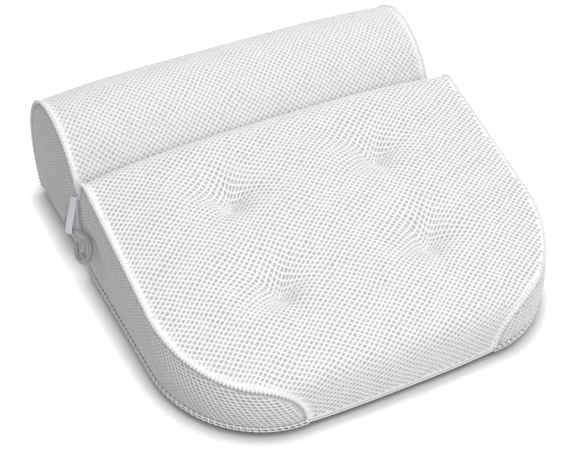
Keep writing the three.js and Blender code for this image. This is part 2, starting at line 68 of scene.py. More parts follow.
# camera, floor and light
shot = {
    "azimuth": -27.52, "elevation": 40.99, "roll": 0.6, "distance": 1.0864, "target": (0, -0.054, 0.0386),
    "wide": 581, "focal": 1402.3, "right": 35.25, "down": 28.18,  # in pixels of the picture
    "sensor": 36, "clipStart": 0.01,
}
studio = {
    "sky": 0.48, "seenSky": 1.0, "floorSize": 3.0,
    "lamps": {  # place, size, watts
        "frontLamp": ((-0.06, -0.95, 1.10), 1.0, 11.5),
        "rearLamp": ((0.40, 0.60, 1.15), 0.8, 4.4),
    },
    "floorColour": (0.95, 0.95, 0.95), "floorBounce": (0.55, 0.55, 0.56), "floorGlow": 0.52,
    "shadowColour": (0.02, 0.02, 0.02), "shadowReach": 0.020, "shadowPower": 1.5,  # painted contact shadow, close under the edges
}


def makeCamera():
    a, e, r = (math.radians(shot[k]) for k in ("azimuth", "elevation", "roll"))
    back = Vector((math.sin(a) * math.cos(e), -math.cos(a) * math.cos(e), math.sin(e)))
    right = Vector((math.cos(a), math.sin(a), 0))
    up = back.cross(right)
    right, up = right * math.cos(r) + up * math.sin(r), up * math.cos(r) - right * math.sin(r)
    perPixel = shot["distance"] / shot["focal"]
    place = Vector(shot["target"]) + back * shot["distance"]
    place += up * shot["down"] * perPixel - right * shot["right"] * perPixel
    data = bpy.data.cameras.new("photoCamera")
    data.sensor_fit = "HORIZONTAL"
    data.sensor_width = shot["sensor"]
    data.lens = shot["focal"] * shot["sensor"] / shot["wide"]
    data.clip_start = shot["clipStart"]
    camera = bpy.data.objects.new("photoCamera", data)
    scene.collection.objects.link(camera)
    turn = Matrix((right, up, back)).transposed().to_4x4()
    camera.matrix_world = Matrix.Translation(place) @ turn
    scene.camera = camera


def seenRays(tree):  # 1 for rays that show the background itself
    path = tree.nodes.new("ShaderNodeLightPath")
    total = path.outputs["Is Camera Ray"]
    for ray in ("Is Glossy Ray", "Is Transmission Ray"):
        most = tree.nodes.new("ShaderNodeMath")
        most.operation = "MAXIMUM"
        tree.links.new(total, most.inputs[0])
        tree.links.new(path.outputs[ray], most.inputs[1])
        total = most.outputs[0]
    return total


def mixColours(tree, factor, first, second):
    mix = tree.nodes.new("ShaderNodeMix")
    mix.data_type = "RGBA"
    for socket, value in ((mix.inputs[0], factor), (mix.inputs[6], first), (mix.inputs[7], second)):
        if hasattr(value, "is_linked"):
            tree.links.new(value, socket)
        else:
            socket.default_value = (*value, 1)
    return mix.outputs[2]


def makeSky():  # white where it is seen, dimmer as a light
    world = bpy.data.worlds.new("studioWorld")
    world.use_nodes = True
    scene.world = world
    tree = world.node_tree
    sky = tree.nodes["Background"]
    sky.inputs["Color"].default_value = (1, 1, 1, 1)
    strength = tree.nodes.new("ShaderNodeMapRange")
    strength.inputs["To Min"].default_value = studio["sky"]
    strength.inputs["To Max"].default_value = studio["seenSky"]
    tree.links.new(seenRays(tree), strength.inputs["Value"])
    tree.links.new(strength.outputs["Result"], sky.inputs["Strength"])


def makeLamps():
    for name, (place, size, watts) in studio["lamps"].items():
        lamp = bpy.data.lights.new(name, "AREA")
        lamp.shape = "DISK"
        lamp.size = size
        lamp.energy = watts
        holder = bpy.data.objects.new(name, lamp)
        holder.location = place
        holder.rotation_euler = (-Vector(place)).to_track_quat("-Z", "Y").to_euler()
        scene.collection.objects.link(holder)


def floorPaint():  # white where it is seen, duller in the light that it throws back
    paint = bpy.data.materials.new("floorPaint")
    paint.use_nodes = True
    tree = paint.node_tree
    nodes, links = tree.nodes, tree.links
    nodes.remove(nodes["Principled BSDF"])
    # painted contact shadow: ambient occlusion darkens the seen colour towards the shadow colour and dims the
    # glow near the object
    clear = nodes.new("ShaderNodeAmbientOcclusion")
    clear.inputs["Distance"].default_value = studio["shadowReach"]
    share = nodes.new("ShaderNodeMath")
    share.operation = "POWER"
    share.inputs[1].default_value = studio["shadowPower"]
    links.new(clear.outputs["AO"], share.inputs[0])
    plain = nodes.new("ShaderNodeBsdfDiffuse")
    colour = mixColours(tree, share.outputs[0], studio["shadowColour"], studio["floorColour"])
    links.new(colour, plain.inputs["Color"])
    glow = nodes.new("ShaderNodeEmission")
    glow.inputs["Strength"].default_value = studio["floorGlow"]
    links.new(mixColours(tree, share.outputs[0], (0, 0, 0), (1, 1, 1)), glow.inputs["Color"])
    seen = nodes.new("ShaderNodeAddShader")
    links.new(plain.outputs[0], seen.inputs[0])
    links.new(glow.outputs[0], seen.inputs[1])
    dull = nodes.new("ShaderNodeBsdfDiffuse")
    dull.inputs["Color"].default_value = (*studio["floorBounce"], 1)
    mix = nodes.new("ShaderNodeMixShader")
    links.new(seenRays(tree), mix.inputs[0])
    links.new(dull.outputs[0], mix.inputs[1])
    links.new(seen.outputs[0], mix.inputs[2])
    links.new(mix.outputs[0], nodes["Material Output"].inputs["Surface"])
    return paint


def makeFloor():
    bm = bmesh.new()
    bmesh.ops.create_grid(bm, x_segments=2, y_segments=2, size=studio["floorSize"])
    floor = newObject("floor", meshFrom(bm, "floor"), floorPaint())


makeCamera()
makeSky()
makeLamps()
makeFloor()
print("camera and studio ready")


# materials
def clothGrain():  # crossed yarns and a soft mottle, shared by the cloths
    group = bpy.data.node_groups.new("clothGrain", "ShaderNodeTree")
    face = group.interface
    face.new_socket("Vector", in_out="INPUT", socket_type="NodeSocketVector")
    face.new_socket("Yarns", in_out="INPUT", socket_type="NodeSocketFloat")  # per metre
    face.new_socket("Mottle Scale", in_out="INPUT", socket_type="NodeSocketFloat")
    face.new_socket("Height", in_out="OUTPUT", socket_type="NodeSocketFloat")
    face.new_socket("Mottle", in_out="OUTPUT", socket_type="NodeSocketFloat")
    nodes, links = group.nodes, group.links
    given = nodes.new("NodeGroupInput")
    result = nodes.new("NodeGroupOutput")
    parts = nodes.new("ShaderNodeSeparateXYZ")
    links.new(given.outputs["Vector"], parts.inputs[0])

    def calc(operation, a, b):
        node = nodes.new("ShaderNodeMath")
        node.operation = operation
        for socket, value in zip(node.inputs, (a, b)):
            if isinstance(value, (int, float)):
                socket.default_value = value
            else:
                links.new(value, socket)
        return node.outputs[0]

    turns = calc("MULTIPLY", given.outputs["Yarns"], math.pi)
    rise = calc("ADD", parts.outputs["X"], parts.outputs["Y"])
    fall = calc("SUBTRACT", parts.outputs["X"], parts.outputs["Y"])
    one = calc("ABSOLUTE", calc("SINE", calc("MULTIPLY", rise, turns), 0), 0)
    two = calc("ABSOLUTE", calc("SINE", calc("MULTIPLY", fall, turns), 0), 0)
    links.new(calc("MULTIPLY", calc("ADD", one, two), 0.5), result.inputs["Height"])
    cloud = nodes.new("ShaderNodeTexNoise")
    cloud.inputs["Detail"].default_value = 4
    links.new(given.outputs["Vector"], cloud.inputs["Vector"])
    links.new(given.outputs["Mottle Scale"], cloud.inputs["Scale"])
    links.new(cloud.outputs["Fac"], result.inputs["Mottle"])
    return group


grain = clothGrain()


def newMaterial(name, roughness):
    material = bpy.data.materials.new(name)
    material.use_nodes = True
    shader = material.node_tree.nodes["Principled BSDF"]
    shader.inputs["Roughness"].default_value = roughness
    return material, material.node_tree, shader


def addBump(tree, shader, height, look):
    bump = tree.nodes.new("ShaderNodeBump")
    bump.inputs["Strength"].default_value = look["bump"]
    bump.inputs["Distance"].default_value = look["relief"]
    tree.links.new(height, bump.inputs["Height"])
    tree.links.new(bump.outputs[0], shader.inputs["Normal"])


def clothMaterial(name, look):
    material, tree, shader = newMaterial(name, look["roughness"])
    shader.inputs["Sheen Weight"].default_value = look["sheen"]
    shader.inputs["Sheen Roughness"].default_value = 0.45
    shader.inputs["Specular IOR Level"].default_value = look["gloss"]
    coords = tree.nodes.new("ShaderNodeUVMap")
    coords.uv_map = "cloth"
    weave = tree.nodes.new("ShaderNodeGroup")
    weave.node_tree = grain
    weave.inputs["Yarns"].default_value = look["yarns"]
    weave.inputs["Mottle Scale"].default_value = look["mottleScale"]
    tree.links.new(coords.outputs[0], weave.inputs["Vector"])
    colour = mixColours(tree, weave.outputs["Mottle"], look["dark"], look["light"])
    # holes painted darker: partly the inner layer's own colour, partly painted shade in the recess
    if "hole" in look:
        hole = tree.nodes.new("ShaderNodeAttribute")
        hole.attribute_name = "hole"
        colour = mixColours(tree, hole.outputs["Fac"], colour, look["hole"])
    tree.links.new(colour, shader.inputs["Base Color"])
    addBump(tree, shader, weave.outputs["Height"], look)
    return material


airMesh = clothMaterial("airMesh", {
    "light": (0.93, 0.93, 0.935), "dark": (0.90, 0.90, 0.91), "hole": (0.38, 0.38, 0.39),
    "roughness": 0.85, "sheen": 0.25, "gloss": 0.25,
    "yarns": 1250, "mottleScale": 60, "bump": 0.35, "relief": 0.0002,
})
baseCloth = clothMaterial("baseCloth", {
    "light": (0.80, 0.81, 0.82), "dark": (0.74, 0.75, 0.765), "roughness": 0.8, "sheen": 0.15, "gloss": 0.3,
    "yarns": 900, "mottleScale": 45, "bump": 0.5, "relief": 0.0002,
})
seamThread = clothMaterial("seamThread", {
    "light": (0.86, 0.86, 0.87), "dark": (0.77, 0.77, 0.785), "roughness": 0.6, "sheen": 0.2, "gloss": 0.4,
    "yarns": 1100, "mottleScale": 400, "bump": 0.4, "relief": 0.00015,
})
satinRibbon = clothMaterial("satinRibbon", {
    "light": (0.82, 0.81, 0.86), "dark": (0.72, 0.71, 0.78), "roughness": 0.32, "sheen": 0.3, "gloss": 0.6,
    "yarns": 2600, "mottleScale": 120, "bump": 0.15, "relief": 0.0001,
})


def mouldedMaterial(name, look):  # plastics, with a faint flow mottle
    material, tree, shader = newMaterial(name, look["roughness"])
    shader.inputs["Transmission Weight"].default_value = look["clear"]
    shader.inputs["IOR"].default_value = look["ior"]
    coords = tree.nodes.new("ShaderNodeTexCoord")
    cloud = tree.nodes.new("ShaderNodeTexNoise")
    cloud.inputs["Scale"].default_value = look["flow"]
    cloud.inputs["Detail"].default_value = 3
    tree.links.new(coords.outputs["Object"], cloud.inputs["Vector"])
    colour = mixColours(tree, cloud.outputs["Fac"], look["dark"], look["light"])
    tree.links.new(colour, shader.inputs["Base Color"])
    addBump(tree, shader, cloud.outputs["Fac"], look)
    return material


clearVinyl = mouldedMaterial("clearVinyl", {
    "light": (0.93, 0.95, 0.95), "dark": (0.88, 0.91, 0.92), "roughness": 0.12,
    "clear": 0.9, "ior": 1.5, "flow": 90, "bump": 0.08, "relief": 0.0002,
})
whitePlastic = mouldedMaterial("whitePlastic", {
    "light": (0.86, 0.86, 0.85), "dark": (0.80, 0.80, 0.79), "roughness": 0.42,
    "clear": 0, "ior": 1.48, "flow": 140, "bump": 0.08, "relief": 0.0002,
})
greyPlastic = mouldedMaterial("greyPlastic", {
    "light": (0.40, 0.41, 0.42), "dark": (0.33, 0.34, 0.35), "roughness": 0.20,
    "clear": 0.15, "ior": 1.49, "flow": 160, "bump": 0.08, "relief": 0.0002,
})
print("materials ready")

# the pad's form, in metres
pad = {
    "halfWidth": 0.160, "rearHeight": 0.095, "noseHeight": 0.039,
    "cornerLength": 0.092, "noseHalfGap": 0.079, "noseRound": 0.036,
    "rearSideRound": 0.013, "rearMiddleRound": 0.016, "frontRound": 0.020, "riseShare": 0.55,
    "crown": 0.0095, "crownAtEnds": 0.006, "crownPower": 3,  # before the cloth is blown up
    "rearSideY": 0.0435, "rearMiddleY": 0.0491, "frontY": -0.1755, "frontMiddleY": -0.1778,
    "baseZ": 0.0059, "seamZ": 0.0069, "footZ": 0.0082, "slopeY": 0.0325,
    "tuftX": 0.063, "tuftYs": (-0.0155, -0.0985), "tuftDepth": 0.0185, "tuftReach": 0.021,
    "pinch": 3.8, "spread": 0.75, "gather": 0.5,  # how sharp and wide a dip is, and how it draws the cloth in
    "folds": 0.04, "foldCount": 5, "foldAt": 0.75, "foldRing": 3, "foldTurn": (1.1, 0.6),  # by row and side
    "uneven": 0.0007, "unevenRamp": 6,
    "gussetBulge": 0.003, "topTuck": 0.0022, "footTuck": 0.0022, "tuckWidth": 0.0028,
    "rows": (26, 58, 24), "columns": 85, "layColumns": 385, "layStages": 2001, "spotSteps": 2000,
    "seamPoints": 900, "gussetPoints": 1200,
    "pressure": 3.0, "flip": True, "cap": 0.005, "pinReach": 0.004, "freeFrom": 0.75, "freeRamp": 0.35,
}
shoulderY = pad["rearSideY"] - pad["rearSideRound"]
middleShoulderY = pad["rearMiddleY"] - pad["rearMiddleRound"]
frontShoulderY = pad["frontMiddleY"] + pad["frontRound"]
cornerStartY = pad["frontY"] + pad["cornerLength"]
cornerWidth = pad["halfWidth"] - pad["noseHalfGap"]


def lerp(a, b, t):
    return a + (b - a) * t


def ramp(value, start, length):  # 0 up to the start, then rising to 1
    return np.clip((value - start) / length, 0, 1)


def seamHeight(y):
    share = (pad["slopeY"] - y) / (pad["slopeY"] - pad["frontY"])
    return pad["baseZ"] + lerp(pad["rearHeight"], pad["noseHeight"], share)


def riseAndRound(stage, face, foot, top, radius):  # a straight rise, then a quarter round
    bend = pad["riseShare"]
    angle = ramp(stage, bend, 1 - bend) * math.pi / 2
    straight = stage < bend
    out = np.where(straight, face, face - radius + radius * np.cos(angle))
    up = np.where(straight, lerp(foot, top - radius, stage / bend), top - radius + radius * np.sin(angle))
    return out, up


def seamPlan(share):  # straight side, front corner, and from share 1 on the nose
    straight = (shoulderY - cornerStartY) / (shoulderY - pad["frontY"])
    noseAngle = math.acos(pad["noseRound"] / cornerWidth)
    noseReach = pad["noseRound"] * (1 - np.sin(np.clip(share - 1, 0, 1) * math.pi / 2))
    corner = noseAngle * ramp(share, straight, 1 - straight)
    angle = np.where(share < 1, corner, np.arccos(noseReach / cornerWidth))
    x = pad["noseHalfGap"] + cornerWidth * np.cos(angle)
    cornerY = cornerStartY - pad["cornerLength"] * np.sin(angle)
    return x, np.where(share < straight, lerp(shoulderY, pad["frontY"], share), cornerY)


def padRow(stage):  # seam end and middle of a row: 0-1 rear face, 1-2 top, 2-3 front
    stage = np.asarray(stage, float)
    rear = np.clip(stage, 0, 1)
    sideTop = seamHeight(shoulderY)
    sideY, sideZ = riseAndRound(rear, pad["rearSideY"], pad["footZ"], sideTop, pad["rearSideRound"])
    rearTop = seamHeight(middleShoulderY) + pad["crownAtEnds"]
    midY, midZ = riseAndRound(rear, pad["rearMiddleY"], pad["footZ"], rearTop, pad["rearMiddleRound"])
    top = np.clip(stage - 1, 0, 1)
    planX, planY = seamPlan(np.clip(stage - 1, 0, 2))
    topY = lerp(middleShoulderY, frontShoulderY, top)
    crown = lerp(pad["crownAtEnds"], pad["crown"], np.sin(top * math.pi))
    front = np.clip(3 - stage, 0, 1)
    frontTop = seamHeight(frontShoulderY) + pad["crownAtEnds"]
    frontOut, frontZ = riseAndRound(front, -pad["frontMiddleY"], pad["footZ"], frontTop, pad["frontRound"])
    noseZ = lerp(pad["footZ"], seamHeight(planY), np.sin(front * math.pi / 2))
    which = [stage <= 1, stage <= 2]
    edge = np.stack([np.where(stage <= 1, pad["halfWidth"], planX), np.where(stage <= 1, sideY, planY),
                     np.select(which, [sideZ, seamHeight(planY)], noseZ)], -1)
    middle = np.stack([0 * stage, np.select(which, [midY, topY], -frontOut),
                       np.select(which, [midZ, seamHeight(topY) + crown], frontZ)], -1)
    return edge, middle


def tuftDip(reach):  # a sharp pinch in a wide dip
    return 0.5 * np.exp(-pad["pinch"] * reach ** 2) + 0.5 * np.exp(-pad["spread"] * reach ** 2)


def tuftPull(x, y):  # the dips, with a few folds running out
    pull = 0
    for row, tuftY in enumerate(pad["tuftYs"]):
        away, along = np.abs(x) - pad["tuftX"], y - tuftY
        reach = np.hypot(away, along) / pad["tuftReach"]
        around = pad["foldCount"] * np.arctan2(along, away * np.sign(x))
        folds = np.cos(around + pad["foldTurn"][0] * row + pad["foldTurn"][1] * np.sign(x))
        ring = np.exp(-pad["foldRing"] * (reach - pad["foldAt"]) ** 2)
        pull = pull + pad["tuftDepth"] * (tuftDip(reach) + pad["folds"] * folds * ring)
    return pull


def stuffing(x, y):  # soft lumps of a hand-filled cushion: waves in radians per metre
    return np.sin(x * 92 + 1.4 * np.sin(y * 58)) + np.sin(y * 105 + x * 43 + 0.8)


def padForm(stage, x, tufted=1):  # the crowned skin with its tufts drawn in
    edge, middle = padRow(stage)
    side = np.abs(np.clip(x / edge[..., 0], -1, 1)) ** pad["crownPower"]
    y = lerp(middle[..., 1], edge[..., 1], side)
    z = lerp(middle[..., 2], edge[..., 2], side)
    settled = np.clip(pad["unevenRamp"] * (stage - 1) * (2 - stage), 0, 1)  # no lumps at the top's two ends
    lumps = pad["uneven"] * stuffing(x, y) * (1 - side) * settled
    z = z - np.where((stage > 1) & (stage < 2), tufted * tuftPull(x, y) - lumps, 0)
    return np.stack([x + 0 * y, y, z], -1)


def meshCoords(mesh):
    flat = np.empty(len(mesh.vertices) * 3)
    mesh.vertices.foreach_get("co", flat)
    return flat.reshape(-1, 3)


def setCoords(mesh, points):
    mesh.vertices.foreach_set("co", np.ascontiguousarray(points, dtype=np.float32).ravel())
    mesh.update()


def gridMesh(name, rows, columns):  # a flat grid mesh and each vertex's row and column
    bm = bmesh.new()
    bmesh.ops.create_grid(bm, x_segments=columns - 1, y_segments=rows - 1, size=1.0)
    mesh = meshFrom(bm, name)
    flat = meshCoords(mesh)
    column = np.rint((flat[:, 0] + 1) / 2 * (columns - 1)).astype(int)
    row = np.rint((flat[:, 1] + 1) / 2 * (rows - 1)).astype(int)
    return mesh, row, column


clothSim = {"frames": 20, "quality": 6, "mass": 0.2, "stretching": 12, "bending": 0.3}


def blowUp(name, form, pinned, freedom, settings):  # cloth simulation of a padded skin
    mesh, row, column = gridMesh(name, *form.shape[:2])
    setCoords(mesh, form[row, column])
    if settings["flip"]:  # pressure pushes along the normals
        mesh.flip_normals()
    skin = bpy.data.objects.new(name, mesh)
    scene.collection.objects.link(skin)
    pins = skin.vertex_groups.new(name="pins")
    pins.add([int(i) for i in np.flatnonzero(pinned[row, column])], 1.0, "REPLACE")
    cloth = skin.modifiers.new("cloth", "CLOTH")
    cloth.settings.quality = clothSim["quality"]
    cloth.settings.mass = clothSim["mass"]
    cloth.settings.tension_stiffness = clothSim["stretching"]
    cloth.settings.compression_stiffness = clothSim["stretching"]
    cloth.settings.bending_stiffness = clothSim["bending"]
    cloth.settings.vertex_group_mass = "pins"
    cloth.settings.use_pressure = True
    cloth.settings.uniform_pressure_force = settings["pressure"]
    cloth.settings.effector_weights.gravity = 0
    cloth.collision_settings.use_collision = False
    cloth.point_cache.frame_start = 1
    cloth.point_cache.frame_end = clothSim["frames"]
    for number in range(1, clothSim["frames"] + 1):
        scene.frame_set(number)
    blown = skin.evaluated_get(bpy.context.evaluated_depsgraph_get()).to_mesh()
    grown = form.copy()
    grown[row, column] = meshCoords(blown)
    bpy.data.objects.remove(skin)
    scene.frame_set(1)
    move = grown - form
    far = np.linalg.norm(move, axis=-1, keepdims=True)
    move *= settings["cap"] * np.tanh(far / settings["cap"]) / np.maximum(far, 1e-9) * freedom[..., None]
    print(name, "blown up by at most", round(float(far.max()) * 1000, 1), "mm before the cap")
    return form + move


def sewnBorder(form):  # the cloth is held along its seams
    pinned = np.zeros(form.shape[:2], bool)
    pinned[[0, -1]] = True
    pinned[:, [0, -1]] = True
    return pinned


def cubicWeights(f):  # of four neighbours, for a smooth line through all points
    return [-0.5 * f ** 3 + f ** 2 - 0.5 * f, 1.5 * f ** 3 - 2.5 * f ** 2 + 1,
            -1.5 * f ** 3 + 2 * f ** 2 + 0.5 * f, 0.5 * f ** 3 - 0.5 * f ** 2]


def sampleGrid(grid, row, column):  # smooth point of a grid at fractional rows and columns
    rows, columns = grid.shape[:2]
    i = np.clip(np.floor(row).astype(int), 0, rows - 2)
    j = np.clip(np.floor(column).astype(int), 0, columns - 2)
    across = cubicWeights(column - j)
    total = 0
    for a, weightRow in enumerate(cubicWeights(row - i)):
        for b, weightColumn in enumerate(across):
            near = grid[np.clip(i + a - 1, 0, rows - 1), np.clip(j + b - 1, 0, columns - 1)]
            total = total + near * (weightRow * weightColumn)[..., None]
    return total


padStages = [np.linspace(k, k + 1, n, endpoint=False) for k, n in enumerate(pad["rows"])]
padStages = np.concatenate(padStages + [[3.0]])
padSeamLine = padRow(np.linspace(0, 3, pad["seamPoints"]))[0]


def makePadSkin():
    edgeX = padRow(padStages)[0][:, None, 0]
    form = padForm(padStages[:, None], edgeX * np.linspace(-1, 1, pad["columns"])[None, :])
    pinned = sewnBorder(form)
    onTop = (padStages > 1) & (padStages < 2)
    for tuftY in pad["tuftYs"]:
        away = np.hypot(np.abs(form[..., 0]) - pad["tuftX"], form[..., 1] - tuftY)
        pinned |= (away < pad["pinReach"]) & onTop[:, None]
    freedom = ramp(padStages, pad["freeFrom"], pad["freeRamp"])[:, None] * np.ones(pad["columns"])
    return blowUp("padSkin", form, pinned, freedom, pad)


padSkin = makePadSkin()


def padSurface(stage, x):
    edgeX = padRow(stage)[0][..., 0]
    share = np.clip(x / edgeX, -1, 1)
    row = np.interp(stage, padStages, np.arange(len(padStages)))
    return sampleGrid(padSkin, row, (share + 1) / 2 * (pad["columns"] - 1))


def surfaceNormal(surface, stage, x, way):
    step, reach = 0.004, 0.0008  # of a stage, and in metres
    down = surface(np.clip(stage + step, 0, 3), x) - surface(np.clip(stage - step, 0, 3), x)
    side = surface(stage, x + reach) - surface(stage, x - reach)
    normal = np.cross(side, way * down)
    return normal / np.maximum(np.linalg.norm(normal, axis=-1, keepdims=True), 1e-12)


def layOut(surface, xs, highest, anchor, way):  # a skin laid flat: s across it, t round its section
    steps, columns, margin = 320, 1400, 0.01
    stage = np.linspace(0, 1, steps)[None, :] * highest[:, None]
    points = surface(stage, xs[:, None] + 0 * stage)
    run = np.cumsum(np.linalg.norm(np.diff(points, axis=1, prepend=points[:, :1]), axis=-1), axis=1)
    for k in range(len(xs)):
        run[k] -= np.interp(anchor, stage[k], run[k])
    run *= way
    low, high = run.min(axis=1), run.max(axis=1)
    marks = np.linspace(low.min() - margin, high.max() + margin, columns)
    order = slice(None, None, int(way))
    table = np.stack([np.interp(marks, run[k][order], stage[k][order]) for k in range(len(xs))])

    def stageAt(s, t):
        k = np.clip((s - xs[0]) / (xs[1] - xs[0]), 0, len(xs) - 1.001)
        m = np.clip((t - marks[0]) / (marks[1] - marks[0]), 0, len(marks) - 1.001)
        i, j = k.astype(int), m.astype(int)
        f, g = k - i, m - j
        return lerp(lerp(table[i, j], table[i, j + 1], g), lerp(table[i + 1, j], table[i + 1, j + 1], g), f)

    def ends(s):
        return np.interp(s, xs, low), np.interp(s, xs, high)

    def inside(s, t):
        bottom, top = ends(s)
        return (np.abs(s) < xs[-1]) & (t > bottom) & (t < top)

    border = np.concatenate([np.c_[xs, low], np.c_[xs, high][::-1]])
    return stageAt, ends, inside, border


def alongPath(points, step, closed):  # points at an even step, and how far along each lies
    if closed:
        points = np.concatenate([points, points[:1]])
    run = np.concatenate([[0], np.cumsum(np.linalg.norm(np.diff(points, axis=0), axis=1))])
    marks = np.linspace(0, run[-1], max(2, int(round(run[-1] / step)) + 1))
    if closed:
        marks = marks[:-1]
    return np.stack([np.interp(marks, run, points[:, k]) for k in range(3)], -1), marks


# the open knit: threads round small holes
knit = {
    "steps": ((0.115, -0.030, 0.10), (0.115, -0.17, 1.0)),  # shares of a cell: inset, depth, darkness, which is partly the inner layer's own colour and partly painted shade in the hole
    "fadeStart": 0.002, "seamFade": 0.0065, "leastDepth": 0.35, "leastDark": 0.12,  # at the seams
    # the first two below: how far the painted shade along the seams reaches, and how it fades
    "grooveShadeReach": 0.0055, "grooveShadeRamp": 0.0022, "tightRight": 1.02,
    "jitter": 0.00010, "patchy": (0.8, 1.2), "leastCell": 0.4, "borderStep": 0.0003, "spare": 0.01,
    "topLean": 0.065, "sideLean": 0.59, "leanFrom": 0.25, "leanRamp": 0.55, "leanPivot": 0.03,
    "top": {
        "bias": 45, "cell": 0.0036, "stretch": (1.128, 0.855), "slim": (1.03, 0.95),
        "dark": 0.74, "thread": 1.0, "wave": 0.0005, "grooveShade": 0.0,
    },
    "roll": {
        "bias": 45, "cell": 0.00344, "stretch": (1, 1), "slim": (1.02, 0.97),
        "dark": 0.62, "thread": 1.0, "wave": 0.0005, "grooveShade": 0.0,
    },
    "side": {
        "bias": 0, "cell": 0.0042, "stretch": (1, 0.66), "slim": (1, 1),
        "dark": 0.95, "thread": 0.66, "wave": 0.0003, "grooveShade": 0.7,
    },
}


def unevenly(s, t, wave):  # hand-laid cloth is never quite straight: waves in radians per metre
    waveS = np.sin(t * 130 + 2.1 * np.sin(s * 47)) + 0.6 * np.sin(s * 210 + t * 90)
    waveT = np.sin(s * 118 + 1.7 * np.sin(t * 61)) + 0.6 * np.sin(t * 190 - s * 70)
    loose = np.random.default_rng(7).normal(0, knit["jitter"], (2, len(s)))
    return s + wave * waveS + loose[0], t + wave * waveT + loose[1]


def nearest(line):  # finder of the closest point of a line
    tree = KDTree(len(line))
    for i, p in enumerate(line):
        tree.insert(p, i)
    tree.balance()
    return tree


def drawOut(faces, way, longer, narrower):  # holes drawn long along one thread
    for f in faces:
        middle = f.calc_center_median()
        for v in f.verts:
            away = v.co - middle
            along = way * away.dot(way)
            v.co = middle + along * longer + (away - along) * narrower


def knitGrid(weave, border, inside, lean):  # flat cells, cut to the border
    (sLow, tLow), (sHigh, tHigh) = border.min(axis=0)[:2], border.max(axis=0)[:2]
    wide, tall = (sHigh - sLow) / weave["stretch"][0], (tHigh - tLow) / weave["stretch"][1]
    bias = math.radians(weave["bias"])
    reach = max(wide * math.cos(bias) + tall * math.sin(bias), wide * math.sin(bias) + tall * math.cos(bias))
    count = 2 * math.ceil((reach / 2 + knit["spare"]) / weave["cell"])
    centre = Matrix.Translation(((sLow + sHigh) / 2, (tLow + tHigh) / 2, 0))
    lay = centre @ Matrix.Diagonal((*weave["stretch"], 1, 1)) @ Matrix.Rotation(bias, 4, "Z")
    bm = bmesh.new()
    bmesh.ops.create_grid(bm, x_segments=count, y_segments=count, size=count * weave["cell"] / 2, matrix=lay)
    kept = bm.verts.layers.int.new("kept")
    flat = np.array([v.co[:2] for v in bm.verts])
    s, t = unevenly(flat[:, 0], flat[:, 1], weave["wave"])
    s = s + lean(s) * (t - knit["leanPivot"])
    for v, a, b, within in zip(bm.verts, s, t, inside(s, t)):
        v.co = (a, b, 0)
        v[kept] = int(within)
    outer = [f for f in bm.faces if not any(v[kept] for v in f.verts)]
    bmesh.ops.delete(bm, geom=outer, context="FACES")
    edge = nearest(border)
    for v in bm.verts:
        if not v[kept]:
            v.co = edge.find(v.co)[0]
    return bm, kept


def sinkHoles(bm, kept, weave):  # a hole below the threads of every whole cell
    hole = bm.verts.layers.float.new("hole")
    loose = np.random.default_rng(11)
    full = weave["cell"] ** 2 * weave["stretch"][0] * weave["stretch"][1]
    least = knit["leastCell"] * full
    whole = [f for f in bm.faces if all(v[kept] for v in f.verts) and f.calc_area() > least]
    bias = math.radians(weave["bias"])
    for inset, depth, value in knit["steps"]:
        bmesh.ops.inset_individual(bm, faces=whole, thickness=inset * weave["thread"] * weave["cell"],
                                   depth=depth * weave["cell"], use_even_offset=True)
        for f in whole:
            for v in f.verts:
                # each hole's darkness: partly the inner layer's own colour, partly painted shade
                v[hole] = value * weave["dark"] * loose.uniform(*knit["patchy"])
        if value < 1:
            drawOut(whole, Vector((math.cos(bias), math.sin(bias), 0)), *weave["slim"])
    bm.verts.layers.int.remove(kept)


def knitSheet(name, weave, border, inside, place, seam, lean=lambda s: 0):
    outline = alongPath(np.c_[border, 0 * border[:, :1]], knit["borderStep"], True)[0]
    bm, kept = knitGrid(weave, outline, inside, lean)
    sinkHoles(bm, kept, weave)
    mesh = meshFrom(bm, name)
    s, t, depth = meshCoords(mesh).T
    corner = np.empty(len(mesh.loops), int)
    mesh.loops.foreach_get("vertex_index", corner)
    uv = mesh.uv_layers.new(name="cloth")
    uv.data.foreach_set("uv", np.c_[s, t][corner].astype(np.float32).ravel())
    tree = nearest(seam)
    away = np.array([tree.find(p)[2] for p in place(s, t, 0 * depth)])
    openness = ramp(away, knit["fadeStart"], knit["seamFade"] - knit["fadeStart"])
    setCoords(mesh, place(s, t, depth * lerp(knit["leastDepth"], 1, openness)))
    holes = mesh.attributes["hole"].data
    dark = np.empty(len(holes), np.float32)
    holes.foreach_get("value", dark)
    # painted shade: a dark band along the seams of the side sheets, where the tucked cloth lies in shade
    shade = weave["grooveShade"] * np.clip((knit["grooveShadeReach"] - away) / knit["grooveShadeRamp"], 0, 1)
    dark = np.maximum(dark * lerp(knit["leastDark"], 1, openness), shade)
    holes.foreach_set("value", dark.astype(np.float32))
    mesh.polygons.foreach_set("use_smooth", np.ones(len(mesh.polygons), bool))
    print(name, len(mesh.polygons), "faces")
    return newObject(name, mesh, airMesh)


